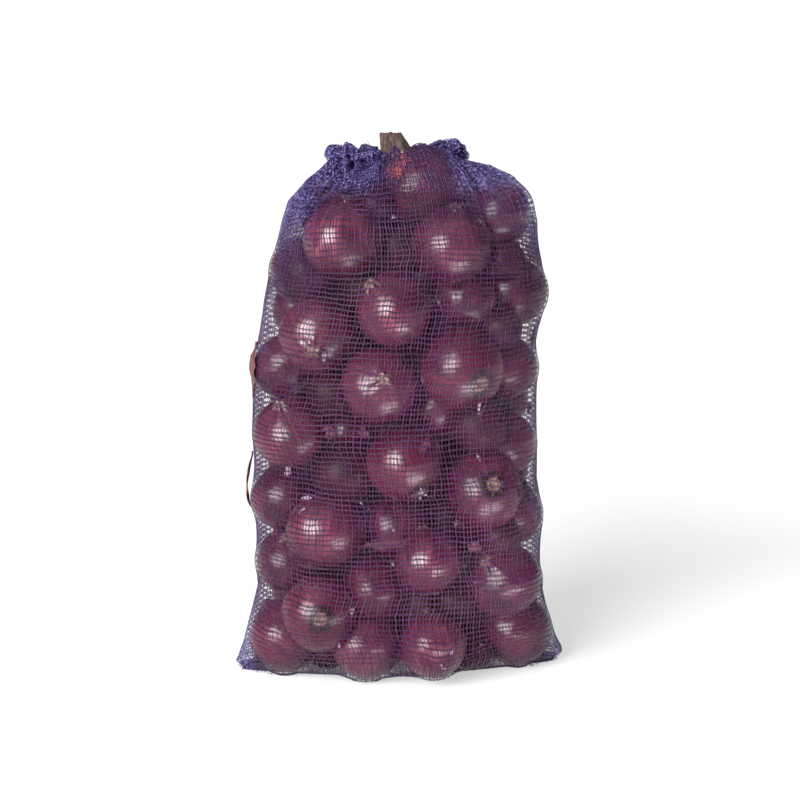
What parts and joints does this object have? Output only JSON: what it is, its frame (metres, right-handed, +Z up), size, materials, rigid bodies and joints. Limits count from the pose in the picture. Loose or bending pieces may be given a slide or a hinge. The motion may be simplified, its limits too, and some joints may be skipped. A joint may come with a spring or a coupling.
{
  "type": "net of red onions",
  "caption": "Tall see-through net sack full of red onions, standing on its sewn foot, with a gathered ruffled mouth and a dry onion neck poking out.",
  "frame": {"origin": "centre of the flat patch the sack stands on", "axes": "+X to the sack's right as seen from its front, the front faces -Y, +Z up along the sack's height"},
  "size_m": [0.3, 0.1778, 0.4879],
  "materials": {
    "net": "knitted plastic net of flat violet tapes, slightly see-through, over dark red onions",
    "onion_skin": "glossy papery red onion skin with fine lengthwise veins",
    "dry_skin": "dull, brittle, dry outer skin"
  },
  "bodies": {
    "root": {"net_sack": "net", "dry_neck": "dry_skin", "loose_skin_upper": "dry_skin", "loose_skin_lower": "dry_skin"}
  },
  "joints": []
}
